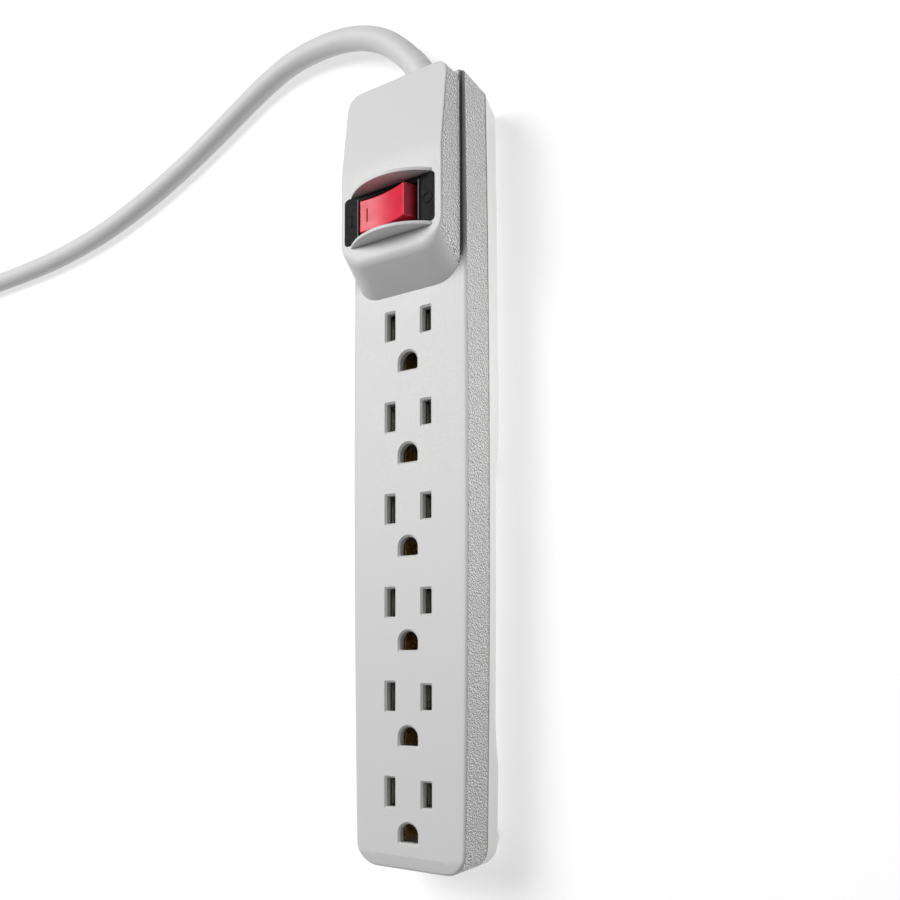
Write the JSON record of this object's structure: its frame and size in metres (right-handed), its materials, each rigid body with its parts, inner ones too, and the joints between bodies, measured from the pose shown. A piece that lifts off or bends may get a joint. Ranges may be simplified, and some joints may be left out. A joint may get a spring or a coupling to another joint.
{
  "type": "power strip",
  "caption": "Slim power strip with grounded outlets in line, a guarded lit rocker breaker on a raised housing, and a short cord with a moulded grounded plug.",
  "frame": {"origin": "under the middle of the housing, on the surface it lies on", "axes": "+X across the outlets towards the hot slots, +Y along the housing towards the switch and the cord, +Z out of the outlet face"},
  "size_m": [0.3883, 0.2875, 0.0421],
  "materials": {
    "cover_plastic": "fine spark-eroded grain, off-white",
    "back_plastic": "smooth satin, off-white",
    "screw_steel": "zinc plated",
    "brass": "stamped, satin",
    "tinned_brass": "tinned, satin",
    "switch_black": "satin black",
    "rocker_red": "glossy translucent red",
    "contact_silver": "silver alloy",
    "lamp_glass": "clear glass",
    "resistor_body": "lacquered",
    "bimetal": "rolled strip",
    "wire_black": "satin vinyl",
    "wire_white": "satin vinyl",
    "wire_green": "satin vinyl",
    "clamp_black": "satin",
    "cord_vinyl": "smooth satin vinyl, off-white",
    "tie_black": "satin",
    "plug_vinyl": "smooth satin vinyl, off-white",
    "blade_nickel": "bright brass"
  },
  "bodies": {
    "housing": {"front_cover": "cover_plastic", "back_cover": "back_plastic", "cover_screws": "screw_steel", "hot_bus": "tinned_brass", "neutral_bus": "tinned_brass", "ground_bus": "brass", "switch_frame": "switch_black", "switch_base": "switch_black", "fixed_contact": "contact_silver", "load_terminal": "brass", "line_terminal": "brass", "bimetal_strip": "bimetal", "pivot_bracket": "brass", "line_wire": "wire_black", "load_wire": "wire_black", "neutral_wire": "wire_white", "ground_wire": "wire_green", "cord_clamp": "clamp_black", "clamp_screws": "screw_steel", "jacket_end": "cord_vinyl", "strain_relief": "cord_vinyl", "cord_run": "cord_vinyl", "cord_coil": "cord_vinyl", "cord_tail": "cord_vinyl", "cord_tie": "tie_black", "plug_body": "plug_vinyl", "plug_blades": "blade_nickel", "plug_ground_pin": "blade_nickel"},
    "rocker": {"rocker": "rocker_red", "plunger": "contact_silver", "plunger_spring": "screw_steel", "neon_lamp": "lamp_glass", "lamp_resistor": "resistor_body"},
    "contact_lever": {"contact_lever": "brass", "moving_contact": "contact_silver"}
  },
  "joints": [
    {"name": "rocker_tilt", "type": "hinge", "parent": "housing", "child": "rocker", "pos_m": [-0.0004, 0.0769, 0.032], "axis": [0, 1, 0], "range_deg": [0, 16]},
    {"name": "lever_tilt", "type": "hinge", "parent": "housing", "child": "contact_lever", "pos_m": [-0.0004, 0.0769, 0.0178], "axis": [0, 1, 0], "range_deg": [-10, 0]}
  ],
  "couplings": [
    {"joint": "lever_tilt", "follows": "rocker_tilt", "ratio": -0.625}
  ]
}
